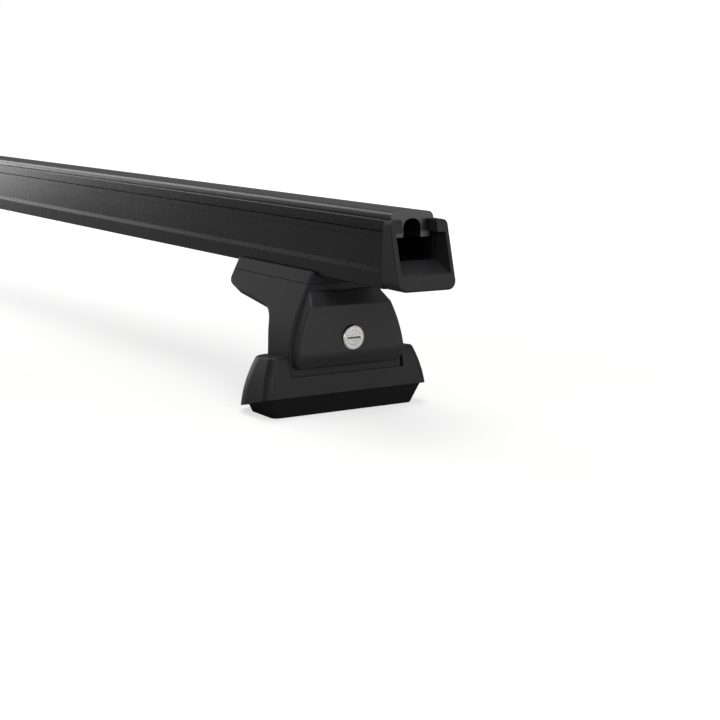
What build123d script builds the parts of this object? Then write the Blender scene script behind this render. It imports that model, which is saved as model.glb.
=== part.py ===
from build123d import *
import math
import os

# Heavy-duty roof rack crossbar on two locking gooseneck legs, in millimetres with Z up.
# X runs along the bar, Y across it, and the origin is on the ground under the middle of the bar.
# Each leg is drawn in its own frame: X outboard from the foot, Z up from the ground.

# Crossbar extrusion: stepped sides, a wide channel above and a bolt channel below
bar_length = 1250.0
bar_height = 38.0
skirt_foot_width = 38.0
skirt_width = 38.7
skirt_height = 9.0
ledge_height = 2.6
panel_width = 36.0
shoulder_width = 37.0
shoulder_height = 4.0
shoulder_radius = 1.0
groove_height = 2.8
groove_depth = 1.0
band_height = 3.1
score_height = 0.5
score_depth = 0.35
upper_mouth = 20.0
upper_lip = 6.8
upper_channel_width = 27.5
web_top = 15.0
web_thickness = 3.5
lower_mouth = 12.0
lower_lip = 3.5
lower_channel_width = 22.0

# Rubber strip hooked into the upper channel
strip_width = 29.0
strip_rise = 5.0
strip_radius = 3.6
strip_crown = 1.0
strip_leg = 3.9
strip_roof = 3.6
strip_hook = 2.6
strip_hook_height = 3.0
strip_arch_radius = 5.0
strip_clearance = 0.2

# Open end cap with a raked front and a sloping sill
cap_reach_low = 17.3
cap_reach_high = 6.6
cap_proud = 0.3
cap_wing = 2.8
cap_tab_width = 8.0
cap_sill_front = 7.5
cap_corner_radius = 5.5
cap_crown_radius = 3.0
cap_front_radius = 1.2
cap_tongue = 18.0
cap_clearance = 0.15

# Leg: place on the bar, head, neck and flanks
leg_height = 82.0
leg_inset = 78.0
head_length = 88.8
head_front = 10.0
cradle_thickness = 5.0
cradle_lip = 2.2
cradle_wall = 1.9
cradle_side_gap = 0.3
nose_depth = 9.4
chin_depth = 14.0
chin_setback = 17.1
throat_depth = 19.2
throat_x = -19.8
neck_rear = -11.6
nose_radius = 5.0
chin_radius = 9.0
throat_radius = 13.0
flank_slope = 0.488
flank_drop = 21.5
flank_foot_drop = 1.4
neck_bend_ratio = 1.85
neck_edge_radius = 3.0
front_edge_radius = 1.2
flange_lean = 0.1117
step_back = 3.9
leg_wall = 3.9
leg_floor = 18.0
rear_wall = 5.0
sill_wall = 3.5
sill_top = 32.0
seam_chamfer = 0.4
bolt_seat_depth = 7.0

# Base shroud: flared moulding round the foot, on a sloped lower edge
shroud_top = 36.2
shroud_top_front = 14.5
shroud_top_rear = -14.8
shroud_top_width = 101.0
shroud_top_slope = 0.1
shroud_mid = 18.0
shroud_mid_front = 18.8
shroud_mid_rear = -19.2
shroud_mid_width = 113.8
shroud_foot = 0.0
shroud_foot_front = 21.0
shroud_foot_rear = -22.4
shroud_foot_width = 116.4
shroud_front_radius = 5.0
shroud_rear_radius = 17.0
shroud_edge_radius = 2.5
shroud_wall = 4.5
shroud_gap = 0.4
shroud_notch = 23.9
shroud_notch_radius = 3.0
crease_front = 19.7
crease_height = 12.7
seat_slope = 0.2685

# Rubber foot pad, a tapered wedge below the shroud
pad_inset = 2.3
pad_front_taper = 2.5
pad_rear_taper = 3.0
pad_end_taper = 6.0
pad_front_radius = 4.0
pad_rear_radius = 12.0

# Foot fixing: two bolt holes through plate, leg floor and pad
foot_bolt_spacing = 48.0
foot_bolt_x = 1.0
foot_hole = 6.8
pad_hole = 8.0
foot_plate_length = 66.0
foot_plate_width = 14.0
foot_plate_thickness = 4.0
foot_plate_radius = 3.0

# Clamp: two bolts up through head and cradle into a nut plate in the lower channel
clamp_bolt = 8.0
clamp_hole = 8.6
clamp_head = 14.0
clamp_head_height = 4.6
clamp_socket = 5.0
clamp_socket_depth = 2.8
clamp_washer = 16.0
clamp_washer_thickness = 1.6
clamp_outer_x = -2.0
clamp_spacing = 48.0
counterbore_gap = 0.4
nut_length = 70.0
nut_thickness = 6.5
nut_lift = 0.1
nut_side_gap = 0.4
thread_clearance = 0.02

# Front cover, hooked under the front edge of the head
cover_margin = 1.7
cover_seat = 0.25
cover_top_drop = 4.2
cover_foot = 28.4
cover_crease_drop = 7.8
cover_crease_x = 20.4
cover_knee = 36.0
cover_knee_x = 22.7
cover_knee_radius = 8.0
cover_lip_x = 18.6
cover_brow_x = 12.2
cover_crease_radius = 2.0
cover_top_corner = 3.0
cover_foot_corner = 5.0
cover_edge_radius = 2.2
cover_wall = 2.5
hook_width = 10.0
hook_centre = 15.0
hook_thickness = 2.0
hook_rise = 1.5
hook_stem = 2.2
hook_gap = 0.3
hook_swing_gap = 0.7
lip_thickness = 2.1

# Lock: barrel in a boss of the cover, cam and screw on its tail
lock_height = 45.5
lock_diameter = 15.2
lock_body_diameter = 12.0
lock_face_x = 22.9
lock_shoulder_x = 17.0
lock_boss_wall = 2.4
lock_boss_rear_x = 13.0
lock_gap = 0.06
lock_edge = 0.6
keyway_length = 9.2
keyway_width = 1.1
keyway_depth = 4.0
tail_diameter = 7.0
tail_flats = 5.0
cam_thickness = 2.0
cam_reach = 17.5
cam_width = 10.0
cam_fit = 0.05
cam_gap = 0.6
cam_screw = 4.0
cam_screw_head = 7.0
cam_screw_head_height = 2.4
cam_screw_depth = 8.0
cam_screw_length = 7.0
cam_screw_socket = 2.5

# Worked-out places in the leg frame
head_top = leg_height - cradle_thickness
head_rear = head_front - head_length
cradle_top = leg_height + cradle_lip
bolt_seat = head_top - bolt_seat_depth
cover_top = head_top - cover_top_drop
clamp_places = [clamp_outer_x, clamp_outer_x - clamp_spacing]
foot_places = [-foot_bolt_spacing / 2, foot_bolt_spacing / 2]
beyond = 2 * leg_height
margin = 1.0
straight_ratio = 0.9
flat_ratio = 0.001
least_radius = 0.5
OUTBOARD = Rotation(0, 90, 0)


def along(face):
    """Prism of a side profile, drawn in X and Z, right through the part in Y."""
    return extrude(Plane.XZ * face, amount=beyond, both=True)


def across(face):
    """Prism of a front profile, drawn in Y and Z, right through the part in X."""
    return extrude(Plane.YZ * face, amount=beyond, both=True)


def rounded_face(points, radii):
    """Polygon whose corners, named by their place in the list, are rounded."""
    face = make_face(Polyline(*points, close=True))
    for place, radius in radii.items():
        corner = face.vertices().sort_by_distance(points[place])[0]
        face = fillet(corner, radius)
    return face


def mirrored_face(points, radii):
    """Face whose right half is given, mirrored about the vertical axis."""
    half = rounded_face(points, radii)
    return half + mirror(half, Plane.YZ)


def block(x0, x1, y0, y1, z0, z1):
    """Box between the given limits."""
    middle = Pos((x0 + x1) / 2, (y0 + y1) / 2, (z0 + z1) / 2)
    return middle * Box(x1 - x0, y1 - y0, z1 - z0)


def rod_x(x0, x1, y, z, diameter):
    """Round rod that runs in X between two places."""
    return Pos((x0 + x1) / 2, y, z) * OUTBOARD * Cylinder(diameter / 2, x1 - x0)


def rod_z(x, y, z0, z1, diameter):
    """Round rod that runs in Z between two heights."""
    return Pos(x, y, (z0 + z1) / 2) * Cylinder(diameter / 2, z1 - z0)


def hexagon(flats, depth):
    """Upright hexagonal prism by its width across flats."""
    return extrude(RegularPolygon(flats / 2, 6, major_radius=False), amount=depth)


def flange_x(z):
    """Place of the leg's leaning front plane at a height."""
    return head_front + flange_lean * (head_top - z)


def sill_front():
    """Front of the leg's foot, set back behind the shroud's front wall."""
    return flange_x(shroud_notch) - step_back


def cam_front():
    """Place of the cam's front face, just behind the sill of the leg."""
    return sill_front() - sill_wall - cam_gap


def seat_z(x):
    """Height of the sloped plane between the shroud and the pad."""
    return crease_height + seat_slope * (x - crease_front)


def below_seat():
    """Everything under the sloped plane."""
    corners = [
        (-beyond, seat_z(-beyond)),
        (beyond, seat_z(beyond)),
        (beyond, -2 * beyond),
        (-beyond, -2 * beyond),
    ]
    return along(make_face(Polyline(*corners, close=True)))


def bar_half_width(z):
    """Half width of the bar's skirt at a height above its underside."""
    rise = (skirt_width - skirt_foot_width) / 2
    return skirt_foot_width / 2 + rise * z / skirt_height


def crossbar():
    """Extruded bar in its own frame, with its underside at height zero."""
    panel_foot = skirt_height + ledge_height
    groove_top = bar_height - shoulder_height
    groove_foot = groove_top - groove_height
    score_top = groove_foot - band_height
    score_foot = score_top - score_height
    panel = panel_width / 2
    outline = [
        (0, 0),
        (skirt_foot_width / 2, 0),
        (skirt_width / 2, skirt_height),
        (panel, panel_foot),
        (panel, score_foot),
        (panel - score_depth, score_foot),
        (panel - score_depth, score_top),
        (panel, score_top),
        (panel, groove_foot),
        (panel - groove_depth, groove_foot + groove_depth / 2),
        (panel - groove_depth, groove_top),
        (shoulder_width / 2, groove_top),
        (shoulder_width / 2, bar_height),
        (0, bar_height),
    ]
    section = mirrored_face(outline, {1: shoulder_radius, 12: shoulder_radius})
    upper_foot = bar_height - upper_lip
    lower_top = web_top - web_thickness
    openings = [
        (upper_mouth, upper_foot, bar_height),
        (upper_channel_width, web_top, upper_foot),
        (lower_channel_width, lower_lip, lower_top),
        (lower_mouth, 0, lower_lip),
    ]
    for width, foot, top in openings:
        section -= Pos(0, (foot + top) / 2) * Rectangle(width, top - foot)
    return extrude(Plane.YZ * section, amount=bar_length / 2, both=True)


def top_strip():
    """Rubber strip with a hollow arch, hooked under the lips of the upper channel."""
    top = bar_height + strip_rise
    leg_outer = upper_mouth / 2 - strip_clearance
    leg_inner = leg_outer - strip_leg
    hook_top = bar_height - upper_lip - strip_clearance
    hook_foot = hook_top - strip_hook_height
    cap = [
        (0, bar_height),
        (strip_width / 2, bar_height),
        (strip_width / 2, top - strip_crown),
        (0, top),
    ]
    section = mirrored_face(cap, {2: strip_radius})
    leg = [
        (0, hook_foot),
        (leg_outer + strip_hook, hook_foot),
        (leg_outer + strip_hook, hook_top),
        (leg_outer, hook_top),
        (leg_outer, bar_height),
        (0, bar_height),
    ]
    section += mirrored_face(leg, {1: strip_hook / 2})
    arch = [
        (0, hook_foot),
        (leg_inner, hook_foot),
        (leg_inner, top - strip_crown - strip_roof),
        (0, top - strip_crown - strip_roof),
    ]
    section -= mirrored_face(arch, {2: strip_arch_radius})
    return extrude(Plane.YZ * section, amount=bar_length / 2, both=True)


def end_cap():
    """Scoop-shaped cap in the bar's frame, with its back at X zero."""
    half = skirt_width / 2 + cap_proud
    tab_foot = bar_height - upper_lip
    tab_inner = half - cap_tab_width
    side = [
        (0, -cap_proud),
        (cap_reach_low, -cap_proud),
        (cap_reach_high, bar_height),
        (0, bar_height),
    ]
    shell = along(make_face(Polyline(*side, close=True)))
    front = [(0, -cap_proud), (half, -cap_proud), (half, bar_height), (0, bar_height)]
    shell &= across(mirrored_face(front, {1: cap_corner_radius, 2: cap_crown_radius}))
    brow = [face for face in shell.faces() if face.normal_at().X > flat_ratio]
    shell = fillet(brow[0].edges(), cap_front_radius)
    scoop = [(0, web_top), (cap_reach_low, cap_sill_front), (beyond, beyond), (0, beyond)]
    mouth = [
        (0, 0),
        (half - cap_wing, 0),
        (half - cap_wing, tab_foot),
        (tab_inner, tab_foot),
        (tab_inner, beyond),
        (0, beyond),
    ]
    shell -= along(make_face(Polyline(*scoop, close=True))) & across(mirrored_face(mouth, {}))
    tongue_half = lower_channel_width / 2 - cap_clearance
    tongue_top = web_top - web_thickness - cap_clearance
    tongue_foot = lower_lip + cap_clearance
    return shell + block(-cap_tongue, 0, -tongue_half, tongue_half, tongue_foot, tongue_top)


def flank_face(inset):
    """Front outline of the leg, drawn in sideways: slanted flanks that curve into a wide foot."""
    top_half = bar_half_width(cradle_lip) + cradle_side_gap + cradle_wall - inset
    lean = math.atan(flank_slope)
    crown = (top_half - flank_slope * cradle_lip, cradle_top + cradle_lip)
    bend = (top_half + flank_slope * flank_drop, cradle_top - flank_drop)
    radius = (bend[1] - cover_foot + flank_foot_drop) / math.sin(lean)
    foot = (bend[0] + radius * (1 - math.cos(lean)), cover_foot - flank_foot_drop)
    flank = Line(crown, bend) + JernArc(bend, (flank_slope, -1), radius, -math.degrees(lean))
    frame = Polyline(foot, (foot[0], -leg_height), (0, -leg_height), (0, crown[1]), crown)
    half = make_face(flank + frame)
    return half + mirror(half, Plane.YZ)


def edges_between(body, x_range, z_range):
    """Edges whose middle lies in the ranges and that don't run straight across in Y."""
    return [
        edge
        for edge in body.edges()
        if abs(edge.tangent_at(0.5).Y) < straight_ratio
        and x_range[0] < edge.center().X < x_range[1]
        and z_range[0] < edge.center().Z < z_range[1]
    ]


def gooseneck(grow):
    """Leg block from its side profile and its front outline, enlarged by a clearance."""
    profile = [
        (head_front, head_top),
        (flange_x(shroud_notch), shroud_notch),
        (sill_front(), shroud_notch),
        (sill_front(), -leg_height),
        (neck_rear, -leg_height),
        (neck_rear, shroud_top),
        (throat_x, head_top - throat_depth),
        (head_rear + chin_setback, head_top - chin_depth),
        (head_rear, head_top - nose_depth),
        (head_rear, head_top),
    ]
    neck_bend = neck_bend_ratio * (head_top - throat_depth - shroud_top)
    radii = {5: neck_bend, 6: throat_radius, 7: chin_radius, 8: nose_radius}
    side = rounded_face(profile, radii)
    if grow:
        side = offset(side, grow, kind=Kind.INTERSECTION)
    body = along(side) & across(flank_face(-grow))
    rear = edges_between(body, (-beyond, 0), (-leg_height, head_top - seam_chamfer))
    return fillet(rear, neck_edge_radius)


def hook_rear():
    """Rear face of the cover's hooks, behind the lip of the head."""
    return flange_x(cover_top) - lip_thickness - hook_gap - hook_thickness


def leg_cavity():
    """Hollow of the neck, open to the front above the sill, with pockets for the cover's hooks."""
    profile = [
        (neck_rear + rear_wall, leg_floor),
        (sill_front() - sill_wall, leg_floor),
        (sill_front() - sill_wall, sill_top),
        (beyond, sill_top),
        (beyond, bolt_seat),
        (throat_x + rear_wall, bolt_seat),
        (throat_x + rear_wall, head_top - throat_depth),
        (neck_rear + rear_wall, shroud_top),
    ]
    hollow = along(make_face(Polyline(*profile, close=True))) & across(flank_face(leg_wall))
    pocket_rear = hook_rear() - hook_swing_gap
    pocket_half = hook_width / 2 + hook_gap
    lip_rear = flange_x(cover_top) - lip_thickness
    slot_top = cover_top + hook_gap
    for centre in (-hook_centre, hook_centre):
        sides = (centre - pocket_half, centre + pocket_half)
        hollow += block(pocket_rear, beyond, *sides, bolt_seat - hook_gap, slot_top)
        hollow += block(pocket_rear, lip_rear, *sides, bolt_seat - hook_gap, slot_top + hook_rise)
    return hollow


def leg_post():
    """Gooseneck moulding: long head, hollow neck open to the front, and a bolted floor."""
    body = gooseneck(0) - below_seat()
    front = edges_between(body, (head_front - margin, beyond), (shroud_notch + margin, head_top - margin))
    body = fillet(front, front_edge_radius)
    body -= leg_cavity()
    for x in clamp_places:
        body -= rod_z(x, 0, bolt_seat - margin, head_top + margin, clamp_hole)
    counterbore = clamp_washer + 2 * counterbore_gap
    body -= rod_z(clamp_places[1], 0, 0, bolt_seat, counterbore)
    for y in foot_places:
        body -= rod_z(foot_bolt_x, y, -margin, leg_floor + margin, foot_hole)
    return body


def bar_cradle():
    """Saddle on the head of the leg, with low lips beside the bar's skirt."""
    body = block(head_rear, head_front, -beyond, beyond, head_top, cradle_top) & across(flank_face(0))
    heights = (head_top + margin, cradle_top - margin)
    body = fillet(edges_between(body, (-beyond, head_rear + margin), heights), neck_edge_radius)
    body = fillet(edges_between(body, (head_front - margin, beyond), heights), front_edge_radius)
    body = chamfer(body.faces().sort_by(Axis.Z)[0].edges(), seam_chamfer)
    half = bar_half_width(cradle_lip) + cradle_side_gap
    body -= block(-beyond, beyond, -half, half, leg_height, beyond)
    for x in clamp_places:
        body -= rod_z(x, 0, head_top - margin, leg_height + margin, clamp_hole)
    return body


def rounded_section(z, rear, front, width, rear_radius, front_radius):
    """Level section of the base with its own front and rear corner radii."""
    points = [(rear, 0), (front, 0), (front, width / 2), (rear, width / 2)]
    half = rounded_face(points, {2: front_radius, 3: rear_radius})
    return Pos(0, 0, z) * (half + mirror(half, Plane.XZ))


def above_brow(wall):
    """Everything above the shroud's sloped top, or above its inner roof."""
    front = shroud_top - wall + shroud_top_slope * (beyond - shroud_top_front)
    rear = shroud_top - wall - shroud_top_slope * (beyond + shroud_top_front)
    corners = [(-beyond, rear), (beyond, front), (beyond, 2 * beyond), (-beyond, 2 * beyond)]
    return along(make_face(Polyline(*corners, close=True)))


def shroud_form(inset):
    """Flared body of the base through three level sections, drawn in by a wall."""
    sections = [
        (shroud_foot, shroud_foot_rear, shroud_foot_front, shroud_foot_width),
        (shroud_mid, shroud_mid_rear, shroud_mid_front, shroud_mid_width),
        (shroud_top, shroud_top_rear, shroud_top_front, shroud_top_width),
    ]
    rear_radius = shroud_rear_radius - inset
    front_radius = max(shroud_front_radius - inset, least_radius)
    faces = [
        rounded_section(z, rear + inset, front - inset, width - 2 * inset, rear_radius, front_radius)
        for z, rear, front, width in sections
    ]
    return loft(faces) - above_brow(inset)


def base_shroud():
    """Moulded shell round the foot of the leg, notched in front for the leg's flange."""
    shell = shroud_form(0)
    shell = fillet(shell.faces().sort_by(Axis.Z)[-1].edges(), shroud_edge_radius)
    shell -= shroud_form(shroud_wall)
    shell -= gooseneck(shroud_gap)
    half = flank_face(-shroud_gap).bounding_box().max.X
    notch = [
        (0, shroud_notch),
        (half, shroud_notch),
        (half, shroud_top),
        (beyond, shroud_top),
        (beyond, beyond),
        (0, beyond),
    ]
    cutter = across(mirrored_face(notch, {2: shroud_notch_radius}))
    shell -= cutter & block(0, beyond, -beyond, beyond, 0, beyond)
    return shell - below_seat()


def foot_pad():
    """Rubber wedge: flat on the ground, sloped on top, tapered towards the ground."""
    rear = shroud_foot_rear + pad_inset
    front = crease_front - pad_inset
    width = shroud_foot_width - 2 * pad_inset
    upper = rounded_section(crease_height, rear, front, width, pad_rear_radius, pad_front_radius)
    lower = rounded_section(
        0,
        rear + pad_rear_taper,
        front - pad_front_taper,
        width - 2 * pad_end_taper,
        pad_rear_radius - pad_rear_taper,
        pad_front_radius,
    )
    pad = loft([lower, upper], ruled=True) & below_seat()
    for y in foot_places:
        pad -= rod_z(foot_bolt_x, y, -margin, crease_height, pad_hole)
    return pad


def foot_plate():
    """Steel plate that spreads the load of the foot bolts on the leg's floor."""
    outline = RectangleRounded(foot_plate_width, foot_plate_length, foot_plate_radius)
    plate = Pos(foot_bolt_x, 0, leg_floor) * extrude(outline, amount=foot_plate_thickness)
    for y in foot_places:
        plate -= rod_z(foot_bolt_x, y, 0, beyond, foot_hole)
    return plate


def nut_foot():
    """Underside of the nut plate, just above the lips of the lower channel."""
    return leg_height + lower_lip + nut_lift


def channel_nut():
    """Long nut plate in the bar's lower channel with a hole for each clamp bolt."""
    middle = sum(clamp_places) / len(clamp_places)
    half = lower_channel_width / 2 - nut_side_gap
    ends = (middle - nut_length / 2, middle + nut_length / 2)
    plate = block(*ends, -half, half, nut_foot(), nut_foot() + nut_thickness)
    for x in clamp_places:
        plate -= rod_z(x, 0, 0, beyond, clamp_bolt + 2 * thread_clearance)
    return plate


def clamp_bolts():
    """Low-head socket bolts that pull the nut plate down on the channel's lips."""
    seat = bolt_seat - clamp_washer_thickness
    bolts = []
    for x in clamp_places:
        bolt = rod_z(x, 0, seat - clamp_head_height, seat, clamp_head)
        bolt += rod_z(x, 0, seat, nut_foot() + nut_thickness, clamp_bolt)
        socket = hexagon(clamp_socket, clamp_socket_depth)
        bolts.append(bolt - Pos(x, 0, seat - clamp_head_height) * socket)
    return Compound(children=bolts)


def clamp_washers():
    """Flat washers under the heads of the clamp bolts."""
    washers = []
    for x in clamp_places:
        washer = rod_z(x, 0, bolt_seat - clamp_washer_thickness, bolt_seat, clamp_washer)
        washers.append(washer - rod_z(x, 0, 0, beyond, clamp_hole))
    return Compound(children=washers)


def cover_profile(inset):
    """Side profile of the cover: upright face, sloped brow and bevelled foot."""
    foot = cover_foot + inset
    top = cover_top - inset
    back = cover_seat - (rear_wall if inset else 0)
    points = [
        (flange_x(foot) + back, foot),
        (cover_lip_x - inset, foot),
        (cover_knee_x - inset, cover_knee + inset / 2),
        (cover_crease_x - inset, cover_top - cover_crease_drop - inset / 2),
        (cover_brow_x - inset, top),
        (flange_x(top) + back, top),
    ]
    return rounded_face(points, {2: cover_knee_radius, 3: cover_crease_radius})


def cover_outline(inset):
    """Front outline of the cover, inside the leg's flanks, with rounded corners."""
    foot = cover_foot + inset
    top = cover_top - inset
    window = Pos(0, (foot + top) / 2) * Rectangle(beyond, top - foot)
    face = flank_face(cover_margin + inset) & window
    face = fillet(face.vertices().group_by(Axis.Y)[-1], cover_top_corner)
    return fillet(face.vertices().group_by(Axis.Y)[0], cover_foot_corner)


def front_cover():
    """Moulded cover with a lock boss and two hooks that catch behind the lip of the head."""
    solid = along(cover_profile(0)) & across(cover_outline(0))
    walls = [face for face in solid.faces() if abs(face.normal_at().X) < flat_ratio]
    rim = [
        edge
        for wall in walls
        for edge in wall.edges()
        if edge.center().X > flange_x(edge.center().Z) + 2 * cover_seat
        and abs(edge.tangent_at(0.5).X) < straight_ratio
    ]
    outer = solid.fillet(cover_edge_radius, rim)
    cover = outer - (along(cover_profile(cover_wall)) & across(cover_outline(cover_wall)))
    boss = rod_x(lock_boss_rear_x, beyond, 0, lock_height, lock_diameter + 2 * lock_boss_wall)
    cover += boss & outer
    cover -= rod_x(lock_shoulder_x, beyond, 0, lock_height, lock_diameter + 2 * lock_gap)
    cover -= rod_x(0, beyond, 0, lock_height, lock_body_diameter + 2 * lock_gap)
    rear = hook_rear()
    stem_front = flange_x(cover_top) + cover_seat + cover_wall / 2
    hook_top = cover_top + hook_rise
    for centre in (-hook_centre, hook_centre):
        sides = (centre - hook_width / 2, centre + hook_width / 2)
        cover += block(rear, stem_front, *sides, cover_top - hook_stem, cover_top)
        cover += block(rear, rear + hook_thickness, *sides, cover_top - hook_stem, hook_top)
    return cover


def lock_barrel():
    """Turned barrel with a shouldered head, a keyway and a flatted tail for the cam."""
    head = rod_x(lock_shoulder_x + lock_gap, lock_face_x, 0, lock_height, lock_diameter)
    head = chamfer(head.edges().sort_by(Axis.X)[-1], lock_edge)
    body = rod_x(cam_front(), lock_shoulder_x + lock_gap, 0, lock_height, lock_body_diameter)
    tail = rod_x(cam_front() - cam_thickness, cam_front(), 0, lock_height, tail_diameter)
    flats = (lock_height - tail_flats / 2, lock_height + tail_flats / 2)
    tail &= block(-beyond, beyond, -beyond, beyond, *flats)
    keyway = block(
        lock_face_x - keyway_depth,
        lock_face_x + margin,
        -keyway_length / 2,
        keyway_length / 2,
        lock_height - keyway_width / 2,
        lock_height + keyway_width / 2,
    )
    thread = rod_x(0, cam_front() + cam_screw_depth, 0, lock_height, cam_screw + 2 * thread_clearance)
    return head + body + tail - keyway - thread


def lock_cam():
    """Cam plate that points sideways when unlocked and turns down behind the sill."""
    rear = cam_front() - cam_thickness
    plate = rod_x(rear, cam_front(), 0, lock_height, cam_width)
    tip = cam_reach - cam_width / 2
    half = cam_width / 2
    plate += block(rear, cam_front(), 0, tip, lock_height - half, lock_height + half)
    plate += rod_x(rear, cam_front(), tip, lock_height, cam_width)
    hole = rod_x(0, beyond, 0, lock_height, tail_diameter + 2 * cam_fit)
    flat = tail_flats / 2 + cam_fit
    hole &= block(0, beyond, -beyond, beyond, lock_height - flat, lock_height + flat)
    return plate - hole


def cam_screw_piece():
    """Screw that holds the cam on the barrel's tail."""
    seat = cam_front() - cam_thickness
    screw = rod_x(seat - cam_screw_head_height, seat, 0, lock_height, cam_screw_head)
    screw += rod_x(seat, cam_front() + cam_screw_length, 0, lock_height, cam_screw)
    socket = hexagon(cam_screw_socket, cam_screw_head_height / 2)
    return screw - Pos(seat - cam_screw_head_height, 0, lock_height) * OUTBOARD * socket


leg_pieces = {
    "leg_post": leg_post(),
    "bar_cradle": bar_cradle(),
    "base_shroud": base_shroud(),
    "foot_pad": foot_pad(),
    "foot_plate": foot_plate(),
    "channel_nut": channel_nut(),
    "clamp_bolts": clamp_bolts(),
    "clamp_washers": clamp_washers(),
    "front_cover": front_cover(),
    "lock_barrel": lock_barrel(),
    "lock_cam": lock_cam(),
    "cam_screw": cam_screw_piece(),
}
cap = Pos(bar_length / 2, 0, leg_height) * end_cap()
pieces = {
    "crossbar_extrusion": Pos(0, 0, leg_height) * crossbar(),
    "top_strip": Pos(0, 0, leg_height) * top_strip(),
    "end_cap_right": cap,
    "end_cap_left": mirror(cap, Plane.YZ),
}
for name, piece in leg_pieces.items():
    placed = Pos(bar_length / 2 - leg_inset, 0, 0) * piece
    pieces[name + "_right"] = placed
    pieces[name + "_left"] = mirror(placed, Plane.YZ)

os.makedirs("parts", exist_ok=True)
for name, piece in pieces.items():
    export_step(piece, f"parts/{name}.step")
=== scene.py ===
"""Dresses the roof rack crossbar and its two locking gooseneck legs."""
import logging
import math
from dataclasses import dataclass
from enum import Enum
from typing import Any

import bpy
import numpy as np
from mathutils import Matrix, Vector


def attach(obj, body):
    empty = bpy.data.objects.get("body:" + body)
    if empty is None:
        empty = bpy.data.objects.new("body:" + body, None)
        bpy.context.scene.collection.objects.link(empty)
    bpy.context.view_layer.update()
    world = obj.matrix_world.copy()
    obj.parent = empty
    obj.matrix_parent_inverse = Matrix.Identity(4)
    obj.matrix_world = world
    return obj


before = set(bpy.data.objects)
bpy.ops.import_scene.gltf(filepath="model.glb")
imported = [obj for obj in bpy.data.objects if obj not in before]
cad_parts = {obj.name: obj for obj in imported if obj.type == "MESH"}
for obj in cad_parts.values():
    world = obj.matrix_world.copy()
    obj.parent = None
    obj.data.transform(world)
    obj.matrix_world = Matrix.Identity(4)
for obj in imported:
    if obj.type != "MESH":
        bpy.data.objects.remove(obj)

LOG = logging.getLogger("roof_rack")
MM = 0.001
# The wave texture runs through 20 radians per unit of scale, so one ring is two pi grains wide.
WAVE_RINGS = 20.0
IMAGE_WIDTH = 720
SENSOR_MM = 36.0


class Side(Enum):
    """The two legs of the bar, with the sign of X on which each one stands."""

    RIGHT = 1
    LEFT = -1

    @property
    def word(self) -> str:
        """The ending of the side's node and body names."""
        return self.name.lower()


def linear(code: str) -> tuple[float, float, float, float]:
    """Turns an sRGB hex colour into linear light.

    Args:
        code: Six hex digits after a hash sign.

    Returns:
        Red, green, blue and an alpha of one.
    """
    parts = [int(code[place:place + 2], 16) / 255 for place in (1, 3, 5)]
    light = [v / 12.92 if v <= 0.04045 else ((v + 0.055) / 1.055) ** 2.4 for v in parts]
    return (light[0], light[1], light[2], 1.0)


def add(tree: bpy.types.NodeTree, kind: str, values: dict[Any, Any], links: dict[Any, Any],
        **settings: Any) -> bpy.types.Node:
    """Adds one node with its settings, socket values and incoming links.

    Args:
        tree: The node tree that gets the node.
        kind: Blender's name of the node type.
        values: Socket name or place to the value it is set to.
        links: Socket name or place to the output that feeds it.
        settings: Properties of the node itself.

    Returns:
        The new node.
    """
    node = tree.nodes.new(kind)
    for name, value in settings.items():
        setattr(node, name, value)
    for name, value in values.items():
        node.inputs[name].default_value = value
    for name, output in links.items():
        tree.links.new(output, node.inputs[name])
    return node


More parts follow.
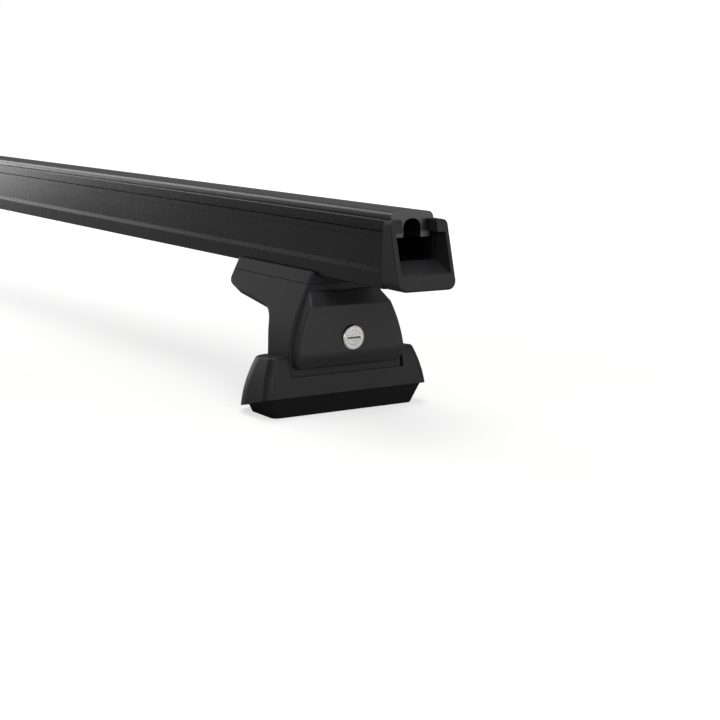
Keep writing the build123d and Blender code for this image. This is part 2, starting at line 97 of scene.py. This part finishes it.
@dataclass(frozen=True)
class Finish:
    """A surface of one real material: two close tones, a fine grain and a slow mottle.

    The colour runs between the two tones on a slow noise. The grain is a fine noise that
    lifts the surface and roughens it a little.
    """

    name: str
    dark: str
    light: str
    roughness: float
    spread: float
    grain_mm: float
    grain_depth_mm: float
    mottle_mm: float
    specular: float = 0.5
    metallic: float = 0.0
    stretch: tuple[float, float, float] = (1.0, 1.0, 1.0)

    def noise(self, tree: bpy.types.NodeTree, where: Any, size_mm: float,
              detail: float) -> bpy.types.Node:
        """Adds a noise whose features have the given real size.

        Args:
            tree: The node tree of the material.
            where: The output with the coordinates.
            size_mm: Size of one feature in millimetres.
            detail: Number of finer layers.

        Returns:
            The noise node.
        """
        values = {"Scale": 1.0 / (size_mm * MM), "Detail": detail, "Roughness": 0.55}
        return add(tree, "ShaderNodeTexNoise", values, {"Vector": where})

    def height(self, tree: bpy.types.NodeTree, where: Any) -> Any:
        """Gives the height that lifts the surface, a noise of the grain's size.

        Args:
            tree: The node tree of the material.
            where: The output with the coordinates.

        Returns:
            The output with the height.
        """
        return self.noise(tree, where, self.grain_mm, 2.0).outputs["Fac"]

    def shaded(self, tree: bpy.types.NodeTree, where: Any, tone: Any) -> Any:
        """Gives the colour as it is; a finish with a second zone changes it.

        Args:
            tree: The node tree of the material; not used here.
            where: The output with the coordinates; not used here.
            tone: The output with the colour.

        Returns:
            The output with the final colour.
        """
        return tone

    def material(self) -> bpy.types.Material:
        """Builds the material of this finish.

        Returns:
            A new node material.
        """
        made = bpy.data.materials.new(self.name)
        made.use_nodes = True
        tree = made.node_tree
        tree.nodes.clear()
        place = add(tree, "ShaderNodeTexCoord", {}, {}).outputs["Object"]
        scaled = add(tree, "ShaderNodeMapping", {"Scale": self.stretch},
                     {"Vector": place}).outputs["Vector"]
        mottle = self.noise(tree, scaled, self.mottle_mm, 3.0).outputs["Fac"]
        tone = add(tree, "ShaderNodeMix", {6: linear(self.dark), 7: linear(self.light)}, {0: mottle},
                   data_type="RGBA").outputs[2]
        tone = self.shaded(tree, place, tone)
        grain = self.height(tree, scaled)
        both = add(tree, "ShaderNodeMath", {}, {0: mottle, 1: grain}, operation="ADD").outputs[0]
        rough = add(tree, "ShaderNodeMapRange", {
            "From Min": 0.6, "From Max": 1.4,
            "To Min": self.roughness - self.spread, "To Max": self.roughness + self.spread,
        }, {"Value": both})
        bump = add(tree, "ShaderNodeBump", {"Strength": 1.0, "Distance": self.grain_depth_mm * MM},
                   {"Height": grain})
        shader = add(tree, "ShaderNodeBsdfPrincipled", {
            "Metallic": self.metallic, "Specular IOR Level": self.specular,
        }, {
            "Base Color": tone, "Roughness": rough.outputs["Result"],
            "Normal": bump.outputs["Normal"],
        })
        add(tree, "ShaderNodeOutputMaterial", {}, {"Surface": shader.outputs["BSDF"]})
        return made


@dataclass(frozen=True)
class TurnedFinish(Finish):
    """Metal turned on a lathe: fine rings about an axis that runs in X at a given height.

    Beyond the ring radius the colour turns near black. This is painted shade: a dark ring that stands for
    the shadowed gap around the lock face.
    """

    axis_height_mm: float = 0.0
    # Painted shade ring: past this radius the colour below stands for the shadowed gap around the lock
    # face.
    shade_ring_radius_mm: float = 100.0
    rim: str = "#0c0c0d"

    def shaded(self, tree: bpy.types.NodeTree, where: Any, tone: Any) -> Any:
        """Gives a painted shade colour where the distance from the axis exceeds the ring radius.

        Args:
            tree: The node tree of the material.
            where: The output with the coordinates.
            tone: The output with the colour of the plating.

        Returns:
            The output with the final colour.
        """
        flat = add(tree, "ShaderNodeMapping", {
            "Location": (0.0, 0.0, -self.axis_height_mm * MM), "Scale": (0.0, 1.0, 1.0),
        }, {"Vector": where}).outputs["Vector"]
        away = add(tree, "ShaderNodeVectorMath", {}, {0: flat}, operation="LENGTH").outputs["Value"]
        # Painted shade: beyond the radius the colour is darkened to stand for the gap's shadow around the
        # lock face.
        beyond = add(tree, "ShaderNodeMath", {1: self.shade_ring_radius_mm * MM}, {0: away},
                     operation="GREATER_THAN")
        return add(tree, "ShaderNodeMix", {7: linear(self.rim)}, {0: beyond.outputs[0], 6: tone},
                   data_type="RGBA").outputs[2]

    def height(self, tree: bpy.types.NodeTree, where: Any) -> Any:
        """Gives ring grooves: a wave over the distance from the turning axis.

        Args:
            tree: The node tree of the material.
            where: The output with the coordinates.

        Returns:
            The output with the height.
        """
        centred = add(tree, "ShaderNodeMapping", {"Location": (0.0, 0.0, -self.axis_height_mm * MM)},
                      {"Vector": where}).outputs["Vector"]
        rings = add(tree, "ShaderNodeTexWave", {
            "Scale": 1.0 / (self.grain_mm * MM) / WAVE_RINGS, "Distortion": 0.6, "Detail": 2.0,
        }, {"Vector": centred}, wave_type="RINGS", rings_direction="X")
        return rings.outputs["Fac"]


# Powder-coated aluminium: a thin satin skin with a soft orange peel.
POWDER_COAT = Finish(
    "powder_coated_aluminium", "#0e0e10", "#141416", roughness=0.27, spread=0.05,
    grain_mm=0.9, grain_depth_mm=0.003, mottle_mm=60.0, specular=0.22,
    stretch=(0.35, 1.0, 1.0),
)
# Extruded rubber: smooth along the die, with a broad soft shine and faint drag lines.
STRIP_RUBBER = Finish(
    "extruded_rubber", "#151516", "#1d1d1e", roughness=0.3, spread=0.05,
    grain_mm=0.8, grain_depth_mm=0.02, mottle_mm=40.0, specular=0.6,
    stretch=(0.06, 1.0, 1.0),
)
# Moulded nylon: fine spark-eroded grain that scatters the light evenly.
CAP_NYLON = Finish(
    "moulded_nylon_cap", "#1b1b1d", "#242426", roughness=0.52, spread=0.06,
    grain_mm=0.45, grain_depth_mm=0.03, mottle_mm=14.0, specular=0.25,
)
LEG_NYLON = Finish(
    "glass_filled_nylon_leg", "#1d1d1f", "#262628", roughness=0.5, spread=0.06,
    grain_mm=0.5, grain_depth_mm=0.03, mottle_mm=22.0, specular=0.15,
)
CRADLE_NYLON = Finish(
    "glass_filled_nylon_cradle", "#1d1d1f", "#262629", roughness=0.5, spread=0.06,
    grain_mm=0.5, grain_depth_mm=0.03, mottle_mm=22.0, specular=0.15,
)
SHROUD_NYLON = Finish(
    "moulded_nylon_shroud", "#18181a", "#212123", roughness=0.5, spread=0.06,
    grain_mm=0.5, grain_depth_mm=0.03, mottle_mm=20.0, specular=0.2,
)
COVER_NYLON = Finish(
    "moulded_nylon_cover", "#232325", "#2c2c2e", roughness=0.5, spread=0.06,
    grain_mm=0.45, grain_depth_mm=0.03, mottle_mm=18.0, specular=0.25,
)
# Moulded rubber: dull, its tone mottled at random between two near-black tones.
PAD_RUBBER = Finish(
    "moulded_rubber_pad", "#080809", "#0e0e0f", roughness=0.75, spread=0.06,
    grain_mm=0.7, grain_depth_mm=0.04, mottle_mm=16.0, specular=0.2,
)
# Zinc plate on steel: pale, with slow clouds from the bath.
ZINC_STEEL = Finish(
    "zinc_plated_steel", "#9a9c9c", "#b4b5b3", roughness=0.34, spread=0.08,
    grain_mm=0.5, grain_depth_mm=0.01, mottle_mm=6.0, specular=0.5,
    metallic=1.0,
)
# Nickel-plated lock face: turned and bright, with rings drawn coarse enough to show. Past the face, a
# painted shade ring darkens the edge and side, standing for the shadowed gap around the lock.
LOCK_NICKEL = TurnedFinish(
    "nickel_plated_lock", "#efeeec", "#fbfaf8", roughness=0.22, spread=0.05,
    grain_mm=0.35, grain_depth_mm=0.004, mottle_mm=5.0, specular=0.5,
    metallic=1.0,
    axis_height_mm=45.5, shade_ring_radius_mm=7.3,
)
# Blued steel of the keyway shutter, sunk in the keyway and so in shade.
SHUTTER_STEEL = Finish(
    "blued_shutter_steel", "#4a4a4c", "#5a5a5c", roughness=0.4, spread=0.06,
    grain_mm=0.4, grain_depth_mm=0.01, mottle_mm=4.0, specular=0.5,
    metallic=1.0,
)

NODE_FINISHES: dict[str, Finish] = {
    "crossbar_extrusion": POWDER_COAT, "top_strip": STRIP_RUBBER, "end_cap": CAP_NYLON,
    "leg_post": LEG_NYLON, "bar_cradle": CRADLE_NYLON, "base_shroud": SHROUD_NYLON, "foot_pad": PAD_RUBBER,
    "foot_plate": ZINC_STEEL, "channel_nut": ZINC_STEEL, "clamp_bolts": ZINC_STEEL,
    "clamp_washers": ZINC_STEEL, "front_cover": COVER_NYLON, "lock_barrel": LOCK_NICKEL,
    "lock_cam": ZINC_STEEL, "cam_screw": ZINC_STEEL,
}


class Paint:
    """Keeps one material per finish, so that pieces of one finish share it."""

    def __init__(self) -> None:
        """Starts with no material made."""
        self.made: dict[str, bpy.types.Material] = {}

    def of(self, finish: Finish) -> bpy.types.Material:
        """Gives the material of a finish, made on first use.

        Args:
            finish: The finish wanted.

        Returns:
            Its material.
        """
        if finish.name not in self.made:
            self.made[finish.name] = finish.material()
        return self.made[finish.name]

    def node(self, name: str) -> None:
        """Gives a solid of the frame the finish of its kind.

        Args:
            name: The node's name, with or without its side.
        """
        kind = name.removesuffix("_right").removesuffix("_left")
        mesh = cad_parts[name].data
        mesh.materials.clear()
        mesh.materials.append(self.of(NODE_FINISHES[kind]))
        LOG.info("dressed %s in %s", name, NODE_FINISHES[kind].name)


def surface(name: str, points: np.ndarray, closed_u: bool) -> bpy.types.Object:
    """Makes a mesh from a grid of points.

    Args:
        name: Name of the object.
        points: Array of rows, columns and three coordinates in metres.
        closed_u: Whether the last column joins the first.

    Returns:
        The new object, linked to the scene.
    """
    rows, columns = points.shape[:2]
    index = np.arange(rows * columns).reshape(rows, columns)
    right = np.roll(index, -1, axis=1)
    if not closed_u:
        index, right = index[:, :-1], right[:, :-1]
    quads = np.stack([index[:-1], right[:-1], right[1:], index[1:]], axis=-1).reshape(-1, 4)
    mesh = bpy.data.meshes.new(name)
    mesh.from_pydata(points.reshape(-1, 3).tolist(), [], quads.tolist())
    mesh.update()
    made = bpy.data.objects.new(name, mesh)
    bpy.context.scene.collection.objects.link(made)
    return made


@dataclass
class Leg:
    """One gooseneck leg: dresses its solids and fits the shutter in the keyway of its lock."""

    side: Side
    leg_x_mm: float = 547.0
    lock_height_mm: float = 45.5
    lock_face_mm: float = 22.9
    shutter_length_mm: float = 9.0
    shutter_width_mm: float = 0.9
    shutter_sink_mm: float = 1.2
    shutter_depth_mm: float = 2.0
    shutter_steps: int = 24
    shutter_squareness: float = 8.0
    kinds: tuple[str, ...] = (
        "leg_post", "bar_cradle", "base_shroud", "foot_pad", "foot_plate", "channel_nut", "clamp_bolts",
        "clamp_washers", "front_cover", "lock_barrel", "lock_cam", "cam_screw",
    )

    def dress(self, paint: Paint) -> None:
        """Gives each solid of the leg its finish.

        Args:
            paint: The shared materials.
        """
        for kind in self.kinds:
            paint.node(f"{kind}_{self.side.word}")

    def shutter(self, paint: Paint) -> bpy.types.Object:
        """Makes the sprung shutter plate in the keyway.

        The outline is a superellipse of high power, so nearly a rectangle with rounded ends.
        It is carried from its rear end to its face, and drawn to the middle on both ends.

        Args:
            paint: The shared materials.

        Returns:
            The shutter's object.
        """
        turn = np.linspace(0.0, 2 * math.pi, self.shutter_steps, endpoint=False)
        power = 2.0 / self.shutter_squareness
        across = np.sign(np.cos(turn)) * np.abs(np.cos(turn)) ** power * self.shutter_length_mm / 2
        up = np.sign(np.sin(turn)) * np.abs(np.sin(turn)) ** power * self.shutter_width_mm / 2
        front = self.lock_face_mm - self.shutter_sink_mm
        depth = np.array([front - self.shutter_depth_mm] * 2 + [front] * 2)
        draw = np.array([0.0, 1.0, 1.0, 0.0])
        grid = np.empty((len(depth), self.shutter_steps, 3))
        grid[..., 0] = self.side.value * (self.leg_x_mm + depth[:, None])
        grid[..., 1] = self.side.value * draw[:, None] * across
        grid[..., 2] = self.lock_height_mm + draw[:, None] * up
        made = surface(f"keyway_shutter_{self.side.word}", grid * MM, True)
        made.data.materials.append(paint.of(SHUTTER_STEEL))
        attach(made, f"lock_{self.side.word}")
        LOG.info("made %s", made.name)
        return made


@dataclass
class Bar:
    """The bar with its strip and end caps, which the legs carry."""

    nodes: tuple[str, ...] = ("crossbar_extrusion", "top_strip", "end_cap_right", "end_cap_left")

    def dress(self, paint: Paint) -> None:
        """Gives each solid of the bar its finish.

        Args:
            paint: The shared materials.
        """
        for name in self.nodes:
            paint.node(name)


@dataclass(frozen=True)
class Lamp:
    """A soft rectangular lamp: where it hangs, what it faces, its size and its power."""

    name: str
    place_m: tuple[float, float, float]
    aim_m: tuple[float, float, float]
    size_m: tuple[float, float]
    watts: float


LAMPS: tuple[Lamp, ...] = (
    Lamp("overhead", (0.3, -0.1, 2.2), (0.4, 0.0, 0.0), (2.6, 1.4), 33.0),
    Lamp("front", (2.7, -0.5, 1.0), (0.5, 0.0, 0.08), (1.2, 1.0), 20.0),
    Lamp("end_card", (2.1, 1.1, 0.3), (0.57, 0.0, 0.05), (0.9, 0.8), 8.0),
    Lamp("far_card", (-3.0, -0.38, 1.4), (0.2, 0.0, 0.1), (1.3, 2.6), 24.0),
    Lamp("edge_card", (1.45, -1.7, 0.35), (0.56, -0.03, 0.06), (0.5, 0.6), 4.0),
    Lamp("low_card", (-1.25, -0.28, 0.15), (0.0, -0.1, 0.1), (0.5, 0.28), 2.0),
)


@dataclass
class Studio:
    """Camera, pale floor, white surround and soft lamps."""

    camera_mm: tuple[float, float, float] = (1278.6, -480.0, 189.5)
    azimuth: float = 55.64
    elevation: float = 10.42
    roll: float = -1.05
    focal_px: float = 1469.2
    floor_m: float = 12.0
    sky: float = 0.25
    mirrored_sky: float = 0.21
    near_glow: float = 0.64
    far_glow: float = 1.0
    glow_reach_m: tuple[float, float] = (0.25, 1.6)
    leg_place_m: tuple[float, float, float] = (0.547, 0.0, 0.0)

    def camera(self) -> None:
        """Places the camera: back axis from the two angles, then turned by the roll."""
        az, el, roll = (math.radians(v) for v in (self.azimuth, self.elevation, self.roll))
        back = Vector((math.sin(az) * math.cos(el), -math.cos(az) * math.cos(el), math.sin(el)))
        right = Vector((math.cos(az), math.sin(az), 0.0))
        down = (-back).cross(right)
        turned = math.cos(roll) * right + math.sin(roll) * down
        lowered = math.cos(roll) * down - math.sin(roll) * right
        data = bpy.data.cameras.new("camera")
        data.sensor_width = SENSOR_MM
        data.lens = self.focal_px * SENSOR_MM / IMAGE_WIDTH
        data.clip_end = 100.0
        made = bpy.data.objects.new("camera", data)
        pose = Matrix((turned, -lowered, back)).transposed().to_4x4()
        pose.translation = Vector(self.camera_mm) * MM
        made.matrix_world = pose
        bpy.context.scene.collection.objects.link(made)
        bpy.context.scene.camera = made

    def floor(self) -> None:
        """Lays the floor: a level square grid, whiter far off, and matt so that it keeps the shadow."""
        span = np.linspace(-self.floor_m / 2, self.floor_m / 2, 3)
        across, along = np.meshgrid(span, span)
        made = surface("floor", np.stack([across, along, np.zeros_like(across)], axis=-1), False)
        paper = bpy.data.materials.new("pale_floor")
        paper.use_nodes = True
        tree = paper.node_tree
        tree.nodes.clear()
        path = add(tree, "ShaderNodeLightPath", {}, {})
        place = add(tree, "ShaderNodeTexCoord", {}, {}).outputs["Object"]
        away = add(tree, "ShaderNodeVectorMath", {1: self.leg_place_m}, {0: place}, operation="DISTANCE")
        level = add(tree, "ShaderNodeMapRange", {
            "From Min": self.glow_reach_m[0], "From Max": self.glow_reach_m[1],
            "To Min": self.near_glow, "To Max": self.far_glow,
        }, {"Value": away.outputs["Value"]})
        glow = add(tree, "ShaderNodeMath", {},
                   {0: path.outputs["Is Camera Ray"], 1: level.outputs["Result"]}, operation="MULTIPLY")
        matt = add(tree, "ShaderNodeBsdfDiffuse", {"Color": linear("#a3a3a2")}, {})
        shine = add(tree, "ShaderNodeEmission", {}, {"Strength": glow.outputs[0]})
        mixed = add(tree, "ShaderNodeAddShader", {}, {0: matt.outputs[0], 1: shine.outputs[0]})
        add(tree, "ShaderNodeOutputMaterial", {}, {"Surface": mixed.outputs[0]})
        made.data.materials.append(paper)

    def surround(self) -> None:
        """Sets the world: white to the camera and through clear pieces, dim as light and in reflections."""
        world = bpy.data.worlds.new("studio")
        world.use_nodes = True
        bpy.context.scene.world = world
        tree = world.node_tree
        tree.nodes.clear()
        path = add(tree, "ShaderNodeLightPath", {}, {})
        seen = add(tree, "ShaderNodeMath", {}, {0: path.outputs["Is Camera Ray"],
                                               1: path.outputs["Is Transmission Ray"]}, operation="MAXIMUM")
        glossy = add(tree, "ShaderNodeMapRange", {"To Min": self.sky, "To Max": self.mirrored_sky},
                     {"Value": path.outputs["Is Glossy Ray"]})
        level = add(tree, "ShaderNodeMath", {}, {0: seen.outputs[0], 1: glossy.outputs["Result"]},
                    operation="MAXIMUM")
        white = add(tree, "ShaderNodeBackground", {"Color": linear("#ffffff")},
                    {"Strength": level.outputs[0]})
        add(tree, "ShaderNodeOutputWorld", {}, {"Surface": white.outputs[0]})

    def lamp(self, lamp: Lamp) -> None:
        """Hangs one soft rectangular lamp.

        Args:
            lamp: What it is, where it hangs and what it faces.
        """
        data = bpy.data.lights.new(lamp.name, "AREA")
        data.shape = "RECTANGLE"
        data.size, data.size_y = lamp.size_m
        data.energy = lamp.watts
        made = bpy.data.objects.new(lamp.name, data)
        made.location = lamp.place_m
        turn = Vector(lamp.place_m) - Vector(lamp.aim_m)
        made.rotation_euler = turn.to_track_quat("Z", "Y").to_euler()
        bpy.context.scene.collection.objects.link(made)

    def build(self) -> None:
        """Sets up the whole studio."""
        bpy.context.scene.view_settings.view_transform = "Standard"
        self.camera()
        self.floor()
        self.surround()
        for lamp in LAMPS:
            self.lamp(lamp)
        LOG.info("studio ready")


def main() -> None:
    """Builds the studio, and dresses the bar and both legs."""
    logging.basicConfig(level=logging.INFO, format="%(message)s")
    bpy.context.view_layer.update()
    Studio().build()
    paint = Paint()
    Bar().dress(paint)
    for side in Side:
        leg = Leg(side)
        leg.dress(paint)
        leg.shutter(paint)


if __name__ == "__main__":
    main()
